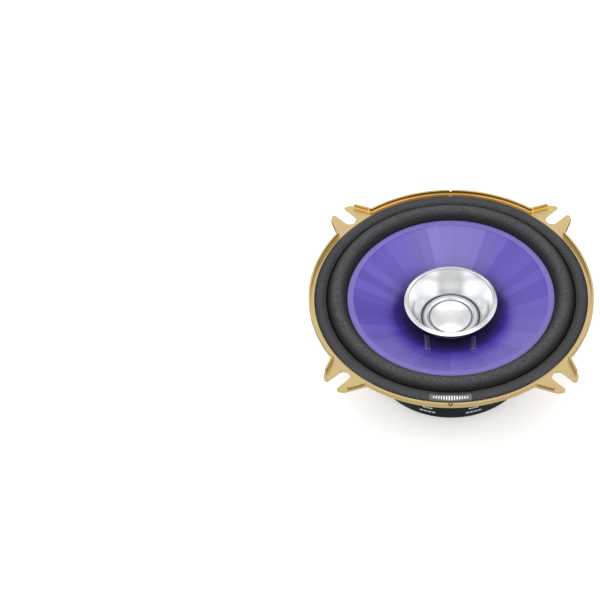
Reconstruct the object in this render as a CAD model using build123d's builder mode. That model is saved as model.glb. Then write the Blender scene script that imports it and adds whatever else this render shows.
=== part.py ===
from build123d import *
import os
from math import acos, atan2, cos, degrees, hypot, pi, radians, sin, sqrt, tan

# A 130 mm dual-cone car loudspeaker, in millimetres. The origin is on the axis, in the plane of
# the flange's back face. +Z points out of the cone and -Y is the side of the leads and terminals.

# Basket: steel sheet with a flange, an upturned lip and four slotted ears.
SHEET = 0.9
LIP_R = 65.0
LIP_TOP = 3.0
LIP_BEND_R = 0.7
EAR_COUNT = 4
EAR_START_DEG = 45.0
EAR_BASE_HALF = 11.1
EAR_TIP_U = 74.7
EAR_TIP_HALF = 4.4
EAR_SHOULDER = (73.3, 6.6)
EAR_DISH = 0.4
LIP_END_U = 71.3
LIP_END_HALF = 7.7
FINGER_FILLET = 0.55
SLOT_WIDTH = 5.8
SLOT_END_U = 67.1
NOTCH_WIDTH = 2.1
NOTCH_DEPTH = 1.6
SPIGOT_R = 57.9
SPIGOT_BOTTOM = -4.5
LEDGE_Z = -17.5
LEDGE_R = 38.6
FLOOR_Z = -23.1
FLOOR_R = 31.0
FLOOR_HOLE_R = 15.6
WINDOW_OUTER_R = 54.0
WINDOW_INNER_R = 41.0
WINDOW_SPAN_DEG = 50.0
WINDOW_FILLET = 3.0
FLOOR_SLANT = 1.2
SHEET_BEND_R = 0.8
LEG_RIB_LENGTH = 15.0
LEG_RIB_WIDTH = 7.0
LEG_RIB_DEPTH = 1.1

# Soft parts of the suspension.
GASKET_R = 62.4
GASKET_INNER_R = 57.0
GASKET_CREST = 2.5
GASKET_EDGE = 0.15
GASKET_HOOK = 1.1
GASKET_INNER_STEP = 0.25
FOAM = 0.45
FOAM_CLEARANCE = 0.1
FOAM_CORNER_R = 0.8
INNER_FLANGE_R = 44.9
ROLL_CENTRE_R = 51.8
ROLL_CREST = 4.2
GROOVE_R = 56.5
SPIDER_THICKNESS = 0.4
SPIDER_OUTER_R = 37.4
SPIDER_WAVE_END_R = 32.0
SPIDER_WAVES = 4
SPIDER_WAVE_HEIGHT = 1.2
SPIDER_COLLAR_TOP = -17.2
SPIDER_COLLAR = 1.6
SPIDER_BORE_R = 13.05

# Moving parts.
CONE_R = 47.2
CONE_TOP = 0.5
CONE_BAND_R = 44.4
CONE_SLOPE = 0.4855
CONE_THICKNESS = 0.4
CONE_BEND_R = 0.6
CONE_COLLAR = 2.2
CONE_NOTCH_R = 0.7
WHIZZER_R = 21.3
WHIZZER_EDGE_Z = -2.9
WHIZZER_CREST = (19.5, -1.95)
WHIZZER_FOOT = 0.4
WHIZZER_COLLAR = 0.5
WHIZZER_BEND_R = 0.6
WHIZZER_THICKNESS = 0.35
CAP_DOME_R = 9.0
CAP_DOME_TOP = -11.5
CAP_BASE = -13.9
CAP_THICKNESS = 0.25
CAP_STEP = 0.8
CAP_STEP_OUTER = (12.45, 12.2)
CAP_STEP_INNER = (10.7, 10.3)
CAP_GROOVE = 0.5
CAP_BEND_R = 0.27
PIP_R = 0.45
FORMER_R = 13.0
FORMER_WALL = 0.3
FORMER_BOTTOM = -32.5
WINDING_R = 13.6
WINDING_TOP = -21.5
WINDING_BOTTOM = -31.5
BEAD_X = 10.1
BEAD_R = 1.35
BEAD_OUTER_Y = -24.4
BEAD_INNER_Y = -12.0
EYELET_Y = -23.4
EYELET_R = 0.9
EYELET_HEAD_R = 1.25
EYELET_HEAD = 0.3
EYELET_LIFT = 0.05
COIL_WIRE_R = 0.2
COIL_WIRE_LIFT = 0.1

# Motor: ferrite magnet between two steel plates, with a pole in the middle.
TOP_PLATE_R = 35.0
TOP_PLATE_THICKNESS = 5.0
TOP_PLATE_CHAMFER = 0.4
GAP_R = 14.1
MAGNET_R = 37.3
MAGNET_HOLE_R = 18.0
MAGNET_THICKNESS = 13.5
MAGNET_CHAMFER = 0.6
BACK_PLATE_R = 34.0
BACK_PLATE_THICKNESS = 4.0
BACK_PLATE_CHAMFER = 0.6
POLE_R = 12.3
POLE_STUB_R = 9.0
POLE_STUB_RECESS = 0.4
POLE_CHAMFER = 0.5
POLE_DIMPLE_R = 3.0
POLE_DIMPLE_DEPTH = 3.0
RIVET_CIRCLE_R = 25.5
RIVET_R = 2.0
RIVET_HEAD_R = 3.4
RIVET_HEAD = 0.9
RIVET_HEAD_FILLET = 0.6

# Terminals: a board on a tongue of the basket, with a wide and a narrow blade.
TONGUE_Y = -41.0
TONGUE_WIDTH = 17.0
TONGUE_ROOT = -15.9
TONGUE_BOTTOM = -20.2
TONGUE_OPENING = (24.0, 5.0, 10.5)
BOARD_WIDTH = 23.0
BOARD_THICKNESS = 1.5
BOARD_TOP = -9.5
BOARD_CHAMFER = 1.2
BLADE_X = 7.0
BLADE_TOP = -10.6
BLADE_BOTTOM = -25.3
BLADE_RIVET_Z = -12.3
BOARD_RIVET_X = 2.8
BOARD_RIVET_Z = -18.6
SMALL_RIVET_R = 0.9
SMALL_HEAD_R = 1.5
SMALL_HEAD = 0.4
BLADE_THICKNESS = 0.8
BLADE_CHAMFER = 0.6
BLADE_ROOT_MARGIN = 0.7
BLADE_HOLE_UP = 2.6
WIDE_BLADE = 4.8
NARROW_BLADE = 2.8
LEAD_R = 0.6
LEAD_GAP = 0.06
LEAD_STRAIGHT = 2.5
RUN_SHARE = 0.45

PLATE_TOP = FLOOR_Z - SHEET
MAGNET_TOP = PLATE_TOP - TOP_PLATE_THICKNESS
MAGNET_BOTTOM = MAGNET_TOP - MAGNET_THICKNESS
BACK_FACE = MAGNET_BOTTOM - BACK_PLATE_THICKNESS
FOAM_TOP = SHEET + FOAM
SPIGOT_INNER_R = SPIGOT_R - SHEET
CONE_NECK_Z = CONE_TOP - (CONE_BAND_R - FORMER_R) * CONE_SLOPE
SLOPE_DEG = degrees(atan2(CONE_SLOPE, 1.0))
LEG_SLOPE_DEG = degrees(atan2(SPIGOT_BOTTOM - LEDGE_Z, SPIGOT_INNER_R - LEDGE_R))
BOARD_FRONT_Y = TONGUE_Y - SHEET
BOARD_BACK_Y = BOARD_FRONT_Y - BOARD_THICKNESS

os.makedirs("parts", exist_ok=True)


def cone_front(radius):
    """Height of the cone's front surface at a radius between the neck and the rim band."""
    return CONE_TOP - (CONE_BAND_R - radius) * CONE_SLOPE


def eyelet_plane(side):
    """The plane on the cone's front at one eyelet, facing out of the cone."""
    radius = hypot(BEAD_X, EYELET_Y)
    lean = sin(radians(SLOPE_DEG))
    toward_axis = (-side * BEAD_X / radius * lean, -EYELET_Y / radius * lean)
    return Plane(
        origin=(side * BEAD_X, EYELET_Y, cone_front(radius)),
        z_dir=(*toward_axis, cos(radians(SLOPE_DEG))),
    )


def bead_point(side, y, height):
    """A point over the cone's front on the line of one bead."""
    return (side * BEAD_X, y, cone_front(hypot(BEAD_X, y)) + height)


# --- basket -------------------------------------------------------------------------------------
# One ear, pointing along +X, with its edge as one closed outline.
with BuildSketch() as ear_blank:
    with BuildLine():
        Polyline(
            (SPIGOT_R + 2, 0),
            (SPIGOT_R + 2, EAR_BASE_HALF),
            (sqrt(LIP_R**2 - EAR_BASE_HALF**2), EAR_BASE_HALF),
            (LIP_END_U, LIP_END_HALF),
            EAR_SHOULDER,
            (EAR_TIP_U, EAR_TIP_HALF),
            (EAR_TIP_U - EAR_DISH, SLOT_WIDTH / 2),
            (EAR_TIP_U - EAR_DISH, 0),
        )
        mirror(about=Plane.XZ)
    make_face()

# Discs with four ears: one outline for the sheet, and the same without slots for the lip.
with BuildSketch() as lip_outline:
    Circle(LIP_R)
    with PolarLocations(0, EAR_COUNT, EAR_START_DEG):
        add(ear_blank.sketch)

with BuildSketch() as flange_outline:
    add(lip_outline.sketch)
    with PolarLocations(SLOT_END_U, EAR_COUNT, EAR_START_DEG):
        Circle(SLOT_WIDTH / 2, mode=Mode.SUBTRACT)
        with Locations((SLOT_WIDTH, 0)):
            Rectangle(2 * SLOT_WIDTH, SLOT_WIDTH, mode=Mode.SUBTRACT)
    finger_corners = flange_outline.vertices().filter_by(lambda v: hypot(v.X, v.Y) > LIP_END_U + 1.5)
    fillet(finger_corners, FINGER_FILLET)
    Circle(SPIGOT_R + 1, mode=Mode.SUBTRACT)

with BuildSketch() as lip_ring:
    add(lip_outline.sketch)
    offset(lip_outline.sketch, amount=-SHEET, mode=Mode.SUBTRACT)
    with PolarLocations(LIP_END_U + 10, EAR_COUNT, EAR_START_DEG):
        Rectangle(20, 4 * EAR_BASE_HALF, mode=Mode.SUBTRACT)

with BuildPart() as basket_frame:
    add(flange_outline.sketch)
    extrude(amount=SHEET)
    add(lip_ring.sketch)
    extrude(amount=LIP_TOP)
    # The wall of the spigot, the legs, the spider's ledge and the floor, as one bent sheet.
    with BuildSketch(Plane.XZ):
        with BuildLine():
            FilletPolyline(
                (SPIGOT_R + 3, SHEET),
                (SPIGOT_INNER_R, SHEET),
                (SPIGOT_INNER_R, SPIGOT_BOTTOM),
                (LEDGE_R, LEDGE_Z),
                (FLOOR_R + FLOOR_SLANT, LEDGE_Z),
                (FLOOR_R, FLOOR_Z),
                (FLOOR_HOLE_R, FLOOR_Z),
                radius=SHEET_BEND_R,
            )
            offset(amount=SHEET, side=Side.LEFT)
        make_face()
    revolve(axis=Axis.Z)
    # Windows between the legs.
    with BuildSketch(Plane.XY.offset(LEDGE_Z + 0.5)) as windows:
        with PolarLocations(0, EAR_COUNT, EAR_START_DEG):
            reach = 2 * WINDOW_OUTER_R
            half_span = radians(WINDOW_SPAN_DEG / 2)
            wedge = [(0, 0), (reach, reach * sin(half_span)), (reach, -reach * sin(half_span))]
            Polygon(*wedge, align=None)
        Circle(WINDOW_OUTER_R, mode=Mode.INTERSECT)
        Circle(WINDOW_INNER_R, mode=Mode.SUBTRACT)
        fillet(windows.vertices(), WINDOW_FILLET)
    extrude(amount=SPIGOT_BOTTOM - LEDGE_Z, mode=Mode.SUBTRACT)
    # A pressed rib along the back of three legs; the fourth carries the terminals.
    for leg_deg in (0, 90, 180):
        across, along = sin(radians(LEG_SLOPE_DEG)), cos(radians(LEG_SLOPE_DEG))
        out_x, out_y = cos(radians(leg_deg)), sin(radians(leg_deg))
        middle_r = (SPIGOT_INNER_R + LEDGE_R) / 2
        leg_front = Plane(
            origin=(middle_r * out_x, middle_r * out_y, (SPIGOT_BOTTOM + LEDGE_Z) / 2),
            x_dir=(along * out_x, along * out_y, across),
            z_dir=(across * out_x, across * out_y, -along),
        )
        with BuildSketch(leg_front.offset(SHEET / 2)):
            SlotOverall(LEG_RIB_LENGTH, LEG_RIB_WIDTH)
        extrude(amount=SHEET / 2 + LEG_RIB_DEPTH)
        with BuildSketch(leg_front.offset(LEG_RIB_DEPTH)):
            SlotOverall(LEG_RIB_LENGTH - 2 * SHEET, LEG_RIB_WIDTH - 2 * SHEET)
        extrude(amount=-2 * LEG_RIB_DEPTH, mode=Mode.SUBTRACT)
    # The tongue for the terminal board, and the opening in the leg that it is bent out of.
    opening_width, opening_depth, opening_height = TONGUE_OPENING
    with BuildSketch(Plane.XY.offset(LEDGE_Z + 1)):
        with Locations((0, TONGUE_Y - SHEET)):
            Rectangle(opening_width, opening_depth, align=(Align.CENTER, Align.MAX))
    extrude(amount=opening_height, mode=Mode.SUBTRACT)
    with BuildSketch(Plane.XZ.offset(-TONGUE_Y)):
        with Locations((0, TONGUE_BOTTOM)):
            Rectangle(TONGUE_WIDTH, TONGUE_ROOT - TONGUE_BOTTOM, align=(Align.CENTER, Align.MIN))
        with Locations((BOARD_RIVET_X, BOARD_RIVET_Z), (-BOARD_RIVET_X, BOARD_RIVET_Z)):
            Circle(SMALL_RIVET_R, mode=Mode.SUBTRACT)
    extrude(amount=SHEET)
    # Holes in the floor for the four rivets.
    with BuildSketch(Plane.XY.offset(FLOOR_Z)):
        with PolarLocations(RIVET_CIRCLE_R, EAR_COUNT, EAR_START_DEG):
            Circle(RIVET_R)
    extrude(amount=-SHEET, mode=Mode.SUBTRACT)
    # V notches in the lip's top edge, at +Y and -Y.
    with BuildSketch(Plane.XZ.offset(-LIP_R - 1)):
        with BuildLine():
            Polyline(
                (0, LIP_TOP - NOTCH_DEPTH),
                (NOTCH_WIDTH / 2, LIP_TOP),
                (-NOTCH_WIDTH / 2, LIP_TOP),
                close=True,
            )
        make_face()
    extrude(amount=2 * LIP_R + 2, mode=Mode.SUBTRACT)
    # The bend between the flange and the lip, rounded on the outside.
    lip_edges = basket_frame.edges().filter_by_position(Axis.Z, -0.01, 0.01)
    lip_edges = lip_edges.filter_by(lambda e: abs(hypot(*tuple(e.center())[:2]) - LIP_R) < 0.02)
    fillet(lip_edges, LIP_BEND_R)

basket_frame.part.label = "basket_frame"
export_step(basket_frame.part, "parts/basket_frame.step")

# --- gasket and foam surround -------------------------------------------------------------------
with BuildPart() as gasket_ring:
    with BuildSketch(Plane.XZ):
        with BuildLine():
            Polyline(
                (GASKET_INNER_R, FOAM_TOP + GASKET_INNER_STEP),
                (GASKET_INNER_R + GASKET_INNER_STEP, FOAM_TOP),
                (GASKET_R - GASKET_HOOK, FOAM_TOP),
                (GASKET_R - GASKET_HOOK, SHEET),
                (GASKET_R, SHEET),
                (GASKET_R, SHEET + GASKET_EDGE),
            )
            crest = ((GASKET_R + GASKET_INNER_R) / 2, GASKET_CREST)
            ThreePointArc(
                (GASKET_R, SHEET + GASKET_EDGE), crest, (GASKET_INNER_R, FOAM_TOP + GASKET_INNER_STEP)
            )
        make_face()
    revolve(axis=Axis.Z)
gasket_ring.part.label = "gasket_ring"
export_step(gasket_ring.part, "parts/gasket_ring.step")

with BuildPart() as surround:
    with BuildSketch(Plane.XZ):
        with BuildLine():
            # Outer flange, glued to the front of the basket and following its rounded corner.
            roll_start = (GROOVE_R, SHEET - 0.4)
            roll_end = (CONE_R + 0.15, 0)
            Polyline(
                (SPIGOT_INNER_R + FOAM_CORNER_R, SHEET),
                (GASKET_R - GASKET_HOOK - FOAM_CLEARANCE, SHEET),
                (GASKET_R - GASKET_HOOK - FOAM_CLEARANCE, FOAM_TOP),
                (SPIGOT_INNER_R + 0.3, FOAM_TOP),
                roll_start,
            )
            ThreePointArc(roll_start, (ROLL_CENTRE_R, ROLL_CREST), roll_end)
            # Inner flange, glued under the cone's rim.
            back_end = (CONE_R + FOAM, -FOAM)
            back_start = (GROOVE_R - FOAM, -FOAM_CLEARANCE)
            Polyline(roll_end, (INNER_FLANGE_R, 0), (INNER_FLANGE_R, -FOAM), back_end)
            ThreePointArc(back_end, (ROLL_CENTRE_R, ROLL_CREST - FOAM), back_start)
            corner = (SPIGOT_INNER_R, SHEET - FOAM_CORNER_R)
            Polyline(back_start, (SPIGOT_INNER_R, -FOAM_CLEARANCE), corner)
            RadiusArc(corner, (SPIGOT_INNER_R + FOAM_CORNER_R, SHEET), FOAM_CORNER_R)
        make_face()
    revolve(axis=Axis.Z)
surround.part.label = "surround"
export_step(surround.part, "parts/surround.step")

# --- cone assembly ------------------------------------------------------------------------------
with BuildPart() as main_cone:
    with BuildSketch(Plane.XZ):
        with BuildLine():
            FilletPolyline(
                (CONE_R, CONE_TOP),
                (CONE_BAND_R, CONE_TOP),
                (FORMER_R, CONE_NECK_Z),
                (FORMER_R, CONE_NECK_Z - CONE_COLLAR),
                radius=CONE_BEND_R,
            )
            offset(amount=CONE_THICKNESS, side=Side.LEFT)
        make_face()
    revolve(axis=Axis.Z)
    # A small half-round notch in the rim, at -Y.
    with BuildSketch(Plane.XY.offset(CONE_TOP)):
        with Locations((0, -CONE_R)):
            Circle(CONE_NOTCH_R)
    extrude(amount=-CONE_THICKNESS, mode=Mode.SUBTRACT)
    for side in (1, -1):
        with BuildSketch(eyelet_plane(side)):
            Circle(EYELET_R)
        extrude(amount=-2 * CONE_THICKNESS, both=True, mode=Mode.SUBTRACT)
main_cone.part.label = "main_cone"
export_step(main_cone.part, "parts/main_cone.step")

with BuildPart() as whizzer_cone:
    with BuildSketch(Plane.XZ):
        with BuildLine():
            FilletPolyline(
                (WHIZZER_R, WHIZZER_EDGE_Z),
                WHIZZER_CREST,
                (FORMER_R + WHIZZER_FOOT, CAP_BASE + WHIZZER_FOOT),
                (FORMER_R, CAP_BASE - WHIZZER_COLLAR),
                radius=WHIZZER_BEND_R,
            )
            offset(amount=WHIZZER_THICKNESS, side=Side.LEFT)
        make_face()
    revolve(axis=Axis.Z)
whizzer_cone.part.label = "whizzer_cone"
export_step(whizzer_cone.part, "parts/whizzer_cone.step")

with BuildPart() as centre_cap:
    with BuildSketch(Plane.XZ):
        with BuildLine():
            FilletPolyline(
                (FORMER_R - 0.05, CAP_BASE + CAP_THICKNESS),
                (CAP_STEP_OUTER[0], CAP_BASE + CAP_THICKNESS),
                (CAP_STEP_OUTER[1], CAP_BASE + CAP_STEP),
                (CAP_STEP_INNER[0], CAP_BASE + CAP_STEP),
                (CAP_STEP_INNER[1], CAP_BASE),
                (CAP_DOME_R + CAP_GROOVE, CAP_BASE),
                (CAP_DOME_R, CAP_BASE + CAP_THICKNESS),
                radius=CAP_BEND_R,
            )
            rise = CAP_DOME_TOP - CAP_BASE - CAP_THICKNESS
            dome_radius = (CAP_DOME_R**2 + rise**2) / (2 * rise)
            dome_edge_deg = degrees(acos(CAP_DOME_R / dome_radius))
            CenterArc(
                (0, CAP_DOME_TOP - dome_radius), dome_radius, dome_edge_deg, 90 - dome_edge_deg
            )
            offset(amount=CAP_THICKNESS, side=Side.LEFT)
        make_face()
    revolve(axis=Axis.Z)
    with Locations((0, 0, CAP_DOME_TOP - PIP_R / 3)):
        Sphere(PIP_R)
centre_cap.part.label = "centre_cap"
export_step(centre_cap.part, "parts/centre_cap.step")

with BuildPart() as coil_former:
    with BuildSketch(Plane.XY.offset(FORMER_BOTTOM)):
        Circle(FORMER_R)
        Circle(FORMER_R - FORMER_WALL, mode=Mode.SUBTRACT)
    extrude(amount=CAP_BASE - FORMER_BOTTOM)
coil_former.part.label = "coil_former"
export_step(coil_former.part, "parts/coil_former.step")

with BuildPart() as coil_winding:
    with BuildSketch(Plane.XY.offset(WINDING_BOTTOM)):
        Circle(WINDING_R)
        Circle(FORMER_R, mode=Mode.SUBTRACT)
    extrude(amount=WINDING_TOP - WINDING_BOTTOM)
coil_winding.part.label = "coil_winding"
export_step(coil_winding.part, "parts/coil_winding.step")

with BuildPart() as lead_eyelets:
    for side in (1, -1):
        with BuildSketch(eyelet_plane(side)):
            Circle(EYELET_R)
        extrude(amount=-CONE_THICKNESS)
        # The front head stands a little clear of the hollow cone, and its shank reaches up to it.
        front_head = eyelet_plane(side).offset(EYELET_LIFT)
        back_head = eyelet_plane(side).offset(-CONE_THICKNESS - EYELET_HEAD)
        with BuildSketch(front_head, back_head):
            Circle(EYELET_HEAD_R)
        extrude(amount=EYELET_HEAD)
        with BuildSketch(eyelet_plane(side)):
            Circle(EYELET_R)
        extrude(amount=EYELET_LIFT)
lead_eyelets.part.label = "lead_eyelets"
export_step(lead_eyelets.part, "parts/lead_eyelets.step")

# Enamelled wire from the coil's neck to each eyelet, just above the cone's front.
with BuildPart() as coil_leads:
    for side in (1, -1):
        wire_start = bead_point(side, BEAD_INNER_Y - 0.6, COIL_WIRE_R + COIL_WIRE_LIFT)
        wire_end = bead_point(side, EYELET_Y + EYELET_HEAD_R, COIL_WIRE_R + COIL_WIRE_LIFT)
        with BuildLine():
            wire = Line(wire_start, wire_end)
        with BuildSketch(Plane(origin=wire_start, z_dir=wire % 0)):
            Circle(COIL_WIRE_R)
        sweep(path=wire)
coil_leads.part.label = "coil_leads"
export_step(coil_leads.part, "parts/coil_leads.step")

# A bead of glue over each wire and eyelet, lying on the cone.
with BuildPart() as lead_beads:
    for side in (1, -1):
        bead_start = bead_point(side, BEAD_INNER_Y, 0)
        bead_end = bead_point(side, BEAD_OUTER_Y, 0)
        with BuildLine():
            spine = Line(bead_start, bead_end)
        with BuildSketch(Plane(origin=bead_start, z_dir=spine % 0)):
            Circle(BEAD_R)
        sweep(path=spine)
        with Locations(bead_start, bead_end):
            Sphere(BEAD_R)
    with BuildSketch(Plane.XZ):
        Polygon(
            (FORMER_R, cone_front(FORMER_R)),
            (CONE_BAND_R, cone_front(CONE_BAND_R)),
            (CONE_BAND_R, LEDGE_Z),
            (FORMER_R, LEDGE_Z),
            align=None,
        )
    revolve(axis=Axis.Z, mode=Mode.SUBTRACT)
    add(coil_leads.part, mode=Mode.SUBTRACT)
    add(lead_eyelets.part, mode=Mode.SUBTRACT)
lead_beads.part.label = "lead_beads"
export_step(lead_beads.part, "parts/lead_beads.step")

# --- spider -------------------------------------------------------------------------------------
with BuildPart() as spider:
    with BuildSketch(Plane.XY.offset(SPIDER_COLLAR_TOP)):
        Circle(SPIDER_BORE_R + SPIDER_THICKNESS)
        Circle(SPIDER_BORE_R, mode=Mode.SUBTRACT)
    extrude(amount=-SPIDER_COLLAR)
    with BuildSketch(Plane.XZ):
        with BuildLine():
            middle = LEDGE_Z + SPIDER_THICKNESS - SPIDER_WAVE_HEIGHT / 2
            wave_length = (SPIDER_WAVE_END_R - SPIDER_BORE_R) / SPIDER_WAVES
            crests = [
                (SPIDER_BORE_R + 0.2 + step * wave_length / 2, middle + (-1) ** step * SPIDER_WAVE_HEIGHT / 2)
                for step in range(2 * SPIDER_WAVES + 1)
            ]
            top_skin = Spline(*crests)
            bottom_skin = Spline(*[(r, z - SPIDER_THICKNESS) for r, z in crests])
            Line(top_skin @ 0, bottom_skin @ 0)
            Line(top_skin @ 1, bottom_skin @ 1)
        make_face()
        with Locations((SPIDER_WAVE_END_R, LEDGE_Z)):
            Rectangle(
                SPIDER_OUTER_R - SPIDER_WAVE_END_R, SPIDER_THICKNESS, align=(Align.MIN, Align.MIN)
            )
    revolve(axis=Axis.Z)
spider.part.label = "spider"
export_step(spider.part, "parts/spider.step")

# --- motor --------------------------------------------------------------------------------------
with BuildPart() as top_plate:
    with BuildSketch(Plane.XY.offset(MAGNET_TOP)):
        Circle(TOP_PLATE_R)
        Circle(GAP_R, mode=Mode.SUBTRACT)
        with PolarLocations(RIVET_CIRCLE_R, EAR_COUNT, EAR_START_DEG):
            Circle(RIVET_R, mode=Mode.SUBTRACT)
    extrude(amount=TOP_PLATE_THICKNESS)
    chamfer(top_plate.edges().filter_by(GeomType.CIRCLE).group_by(SortBy.RADIUS)[-1], TOP_PLATE_CHAMFER)
top_plate.part.label = "top_plate"
export_step(top_plate.part, "parts/top_plate.step")

with BuildPart() as magnet:
    with BuildSketch(Plane.XY.offset(MAGNET_BOTTOM)):
        Circle(MAGNET_R)
        Circle(MAGNET_HOLE_R, mode=Mode.SUBTRACT)
    extrude(amount=MAGNET_THICKNESS)
    chamfer(magnet.edges().filter_by(GeomType.CIRCLE).group_by(SortBy.RADIUS)[-1], MAGNET_CHAMFER)
magnet.part.label = "magnet"
export_step(magnet.part, "parts/magnet.step")

with BuildPart() as back_plate:
    with BuildSketch(Plane.XY.offset(BACK_FACE)):
        Circle(BACK_PLATE_R)
        Circle(POLE_STUB_R, mode=Mode.SUBTRACT)
    extrude(amount=BACK_PLATE_THICKNESS)
    chamfer(back_plate.edges().filter_by(GeomType.CIRCLE).group_by(SortBy.RADIUS)[-1], BACK_PLATE_CHAMFER)
back_plate.part.label = "back_plate"
export_step(back_plate.part, "parts/back_plate.step")

with BuildPart() as pole_piece:
    with BuildSketch(Plane.XY.offset(MAGNET_BOTTOM)):
        Circle(POLE_R)
    extrude(amount=PLATE_TOP - MAGNET_BOTTOM)
    chamfer(pole_piece.edges().group_by(Axis.Z)[-1], POLE_CHAMFER)
    with BuildSketch(Plane.XY.offset(MAGNET_BOTTOM)):
        Circle(POLE_STUB_R)
    extrude(amount=POLE_STUB_RECESS - BACK_PLATE_THICKNESS)
    with BuildSketch(Plane.XY.offset(PLATE_TOP)):
        Circle(POLE_DIMPLE_R)
    extrude(amount=-POLE_DIMPLE_DEPTH, mode=Mode.SUBTRACT)
pole_piece.part.label = "pole_piece"
export_step(pole_piece.part, "parts/pole_piece.step")

with BuildPart() as plate_rivets:
    with BuildSketch(Plane.XY.offset(FLOOR_Z)):
        with PolarLocations(RIVET_CIRCLE_R, EAR_COUNT, EAR_START_DEG):
            Circle(RIVET_HEAD_R)
    extrude(amount=RIVET_HEAD)
    fillet(plate_rivets.edges().group_by(Axis.Z)[-1], RIVET_HEAD_FILLET)
    with BuildSketch(Plane.XY.offset(FLOOR_Z)):
        with PolarLocations(RIVET_CIRCLE_R, EAR_COUNT, EAR_START_DEG):
            Circle(RIVET_R)
    extrude(amount=MAGNET_TOP - FLOOR_Z)
plate_rivets.part.label = "plate_rivets"
export_step(plate_rivets.part, "parts/plate_rivets.step")

# --- terminals ----------------------------------------------------------------------------------
with BuildPart() as terminal_board:
    with BuildSketch(Plane.XZ.offset(-BOARD_FRONT_Y)) as board_outline:
        with Locations((0, TONGUE_BOTTOM)):
            Rectangle(BOARD_WIDTH, BOARD_TOP - TONGUE_BOTTOM, align=(Align.CENTER, Align.MIN))
        chamfer(board_outline.vertices(), BOARD_CHAMFER)
        with Locations((BOARD_RIVET_X, BOARD_RIVET_Z), (-BOARD_RIVET_X, BOARD_RIVET_Z)):
            Circle(SMALL_RIVET_R, mode=Mode.SUBTRACT)
        with Locations((BLADE_X, BLADE_RIVET_Z), (-BLADE_X, BLADE_RIVET_Z)):
            Circle(SMALL_RIVET_R, mode=Mode.SUBTRACT)
    extrude(amount=BOARD_THICKNESS)
terminal_board.part.label = "terminal_board"
export_step(terminal_board.part, "parts/terminal_board.step")


def blade(centre_x, width):
    """A flat terminal on the back of the board, with a rivet hole and a chamfered tip."""
    with BuildPart() as tab:
        with BuildSketch(Plane.XZ.offset(-BOARD_BACK_Y)) as outline:
            with Locations((centre_x, BLADE_BOTTOM)):
                Rectangle(width, BLADE_TOP - BLADE_BOTTOM, align=(Align.CENTER, Align.MIN))
            chamfer(outline.vertices().group_by(Axis.Y)[0], BLADE_CHAMFER)
            with Locations((centre_x, BLADE_RIVET_Z)):
                Circle(width / 2 + BLADE_ROOT_MARGIN)
                Circle(SMALL_RIVET_R, mode=Mode.SUBTRACT)
            with Locations((centre_x, BLADE_BOTTOM + BLADE_HOLE_UP)):
                Circle(width / 6, mode=Mode.SUBTRACT)
        extrude(amount=BLADE_THICKNESS)
    return tab


terminal_tab_positive = blade(BLADE_X, WIDE_BLADE)
terminal_tab_positive.part.label = "terminal_tab_positive"
export_step(terminal_tab_positive.part, "parts/terminal_tab_positive.step")

terminal_tab_negative = blade(-BLADE_X, NARROW_BLADE)
terminal_tab_negative.part.label = "terminal_tab_negative"
export_step(terminal_tab_negative.part, "parts/terminal_tab_negative.step")

with BuildPart() as terminal_rivets:
    # Each rivet: its place across and up, the face it starts on and the face it ends on.
    rivets = (
        (BOARD_RIVET_X, BOARD_RIVET_Z, TONGUE_Y, BOARD_BACK_Y),
        (-BOARD_RIVET_X, BOARD_RIVET_Z, TONGUE_Y, BOARD_BACK_Y),
        (BLADE_X, BLADE_RIVET_Z, BOARD_FRONT_Y, BOARD_BACK_Y - BLADE_THICKNESS),
        (-BLADE_X, BLADE_RIVET_Z, BOARD_FRONT_Y, BOARD_BACK_Y - BLADE_THICKNESS),
    )
    for rivet_x, rivet_z, start_y, end_y in rivets:
        with BuildSketch(Plane.XZ.offset(-start_y)):
            with Locations((rivet_x, rivet_z)):
                Circle(SMALL_RIVET_R)
        extrude(amount=start_y - end_y)
        with BuildSketch(Plane.XZ.offset(-start_y - SMALL_HEAD), Plane.XZ.offset(-end_y)):
            with Locations((rivet_x, rivet_z)):
                Circle(SMALL_HEAD_R)
        extrude(amount=SMALL_HEAD)
terminal_rivets.part.label = "terminal_rivets"
export_step(terminal_rivets.part, "parts/terminal_rivets.step")

# --- tinsel leads -------------------------------------------------------------------------------
def arc_radii(points):
    """The largest bend at each corner that leaves a tenth of the shorter run straight."""
    radii = []
    for before, corner, after in zip(points, points[1:], points[2:]):
        run_in = Vector(*corner) - Vector(*before)
        run_out = Vector(*after) - Vector(*corner)
        half_turn = radians(run_in.get_angle(run_out) / 2)
        radii.append(RUN_SHARE * min(run_in.length, run_out.length) / tan(half_turn))
    return radii


def tinsel_lead(side):
    """A braided lead that sags from the eyelet behind the cone to its rivet on the board."""
    back_of_eyelet = eyelet_plane(side).offset(-CONE_THICKNESS - EYELET_HEAD)
    route = [
        tuple(back_of_eyelet.origin - back_of_eyelet.z_dir * LEAD_GAP),
        tuple(back_of_eyelet.origin - back_of_eyelet.z_dir * LEAD_STRAIGHT),
        (side * 10.8, -27.2, -13.2),
        (side * 9.9, -31.8, -13.7),
        (side * 8.3, -36.7, -13.1),
        (side * BLADE_X, BOARD_FRONT_Y + SMALL_HEAD + 2 * LEAD_GAP, BLADE_RIVET_Z),
    ]
    radii = arc_radii(route)
    print("lead bends, mm:", [round(radius, 1) for radius in radii])
    with BuildPart() as lead:
        with BuildLine():
            path = FilletPolyline(*route, radius=radii)
        with BuildSketch(Plane(origin=route[0], z_dir=path % 0)):
            Circle(LEAD_R)
        sweep(path=path)
    print("lead length", round(path.length, 2), "volume check",
          round(lead.part.volume / (pi * LEAD_R**2 * path.length), 4))
    return lead


tinsel_lead_positive = tinsel_lead(1)
tinsel_lead_positive.part.label = "tinsel_lead_positive"
export_step(tinsel_lead_positive.part, "parts/tinsel_lead_positive.step")

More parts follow.
